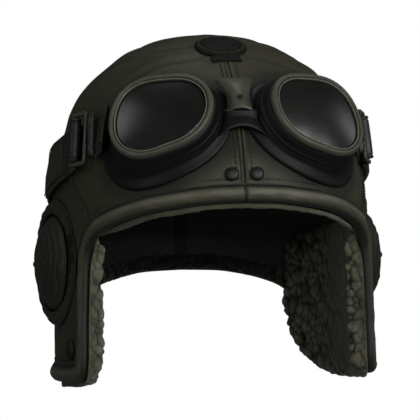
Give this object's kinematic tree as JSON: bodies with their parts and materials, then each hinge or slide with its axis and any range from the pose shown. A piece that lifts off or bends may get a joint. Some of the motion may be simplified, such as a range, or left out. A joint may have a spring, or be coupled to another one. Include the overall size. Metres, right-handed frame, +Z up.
{
  "type": "leather aviator helmet with goggles",
  "caption": "Leather flying helmet with fleece-lined ear flaps, padded ear cups, and metal-rimmed goggles on a buckled leather strap.",
  "frame": {"origin": "on the head's axis, level with the lower edge of the brow, in the middle of the opening that the head goes into", "axes": "+Z up to the crown, -Y forward out of the face opening, +X to the wearer's left"},
  "size_m": [0.2184, 0.2384, 0.2119],
  "materials": {
    "leather": "dark olive-brown leather, softly creased, half matt",
    "binding_leather": "rolled binding leather, a little lighter and smoother",
    "fleece": "clipped dark olive sheepskin pile in small locks",
    "ear_leather": "black-brown padded leather",
    "goggle_metal": "dull bronzed metal, worn bright on its edges",
    "lens_glass": "dark smoked glass",
    "goggle_rubber": "black rubber with a soft sheen",
    "strap_leather": "dark strap leather, matt, with rubbed edges",
    "hardware_steel": "old nickelled steel, polished on its high spots"
  },
  "bodies": {
    "root": {"leather_crown_left": "leather", "leather_crown_right": "leather", "leather_side_left": "leather", "leather_side_right": "leather", "edge_binding": "binding_leather", "fleece_flap_left": "fleece", "fleece_flap_right": "fleece", "fleece_brow_trim": "fleece", "fleece_nape_trim": "fleece", "ear_cup_ring_left": "ear_leather", "ear_cup_ring_right": "ear_leather", "ear_cup_cap_left": "ear_leather", "ear_cup_cap_right": "ear_leather", "ear_screw_front_left": "hardware_steel", "ear_screw_rear_left": "hardware_steel", "ear_screw_front_right": "hardware_steel", "ear_screw_rear_right": "hardware_steel", "brow_rivet_left": "hardware_steel", "brow_rivet_right": "hardware_steel", "flap_snap_left": "hardware_steel", "flap_snap_right": "hardware_steel", "crown_patch": "strap_leather", "patch_tab": "strap_leather", "goggle_rim_left": "goggle_metal", "goggle_rim_right": "goggle_metal", "goggle_lens_left": "lens_glass", "goggle_lens_right": "lens_glass", "goggle_cup_left": "goggle_rubber", "goggle_cup_right": "goggle_rubber", "goggle_bridge": "goggle_metal", "goggle_nose_band": "goggle_rubber", "bridge_rivet": "hardware_steel", "goggle_strap": "strap_leather", "strap_tab_left": "strap_leather", "strap_tab_right": "strap_leather", "buckle_frame_left": "hardware_steel", "buckle_frame_right": "hardware_steel", "buckle_roller_left": "hardware_steel", "buckle_roller_right": "hardware_steel", "strap_sleeve_left": "hardware_steel", "strap_sleeve_right": "hardware_steel"}
  },
  "joints": []
}
